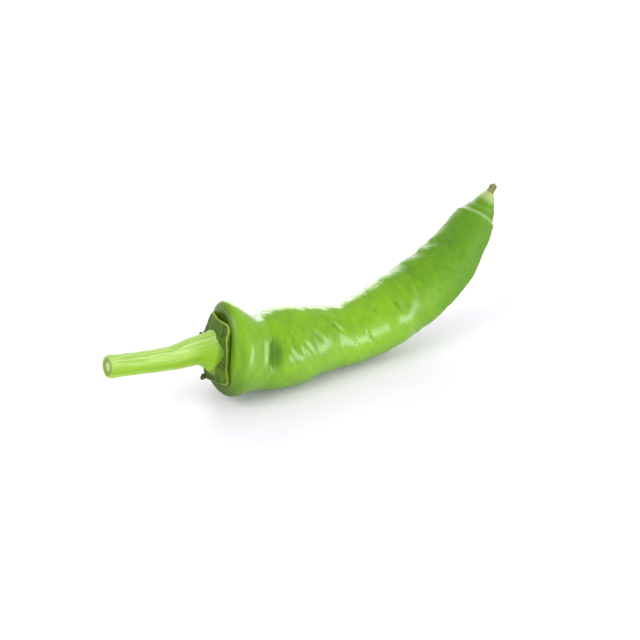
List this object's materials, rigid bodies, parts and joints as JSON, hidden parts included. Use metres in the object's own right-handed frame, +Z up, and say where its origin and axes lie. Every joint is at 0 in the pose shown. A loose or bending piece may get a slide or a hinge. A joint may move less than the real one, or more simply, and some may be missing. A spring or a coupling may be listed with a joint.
{
  "type": "long green chilli pepper",
  "caption": "Long curved green chilli pepper as picked, with its stem, calyx and dried style, lying on its belly with the tip raised.",
  "frame": {"origin": "middle of the part's footprint, on the surface that it lies on", "axes": "+X from the stem to the tip, +Z up"},
  "size_m": [0.1716, 0.034, 0.0579],
  "materials": {
    "pod_skin": "waxy green skin",
    "calyx": "rough olive green with dry edges",
    "stem": "satin light green, finely ribbed",
    "dried_style": "dry brown"
  },
  "bodies": {
    "root": {"pod": "pod_skin", "calyx": "calyx", "stem": "stem", "style_tip": "dried_style"}
  },
  "joints": []
}
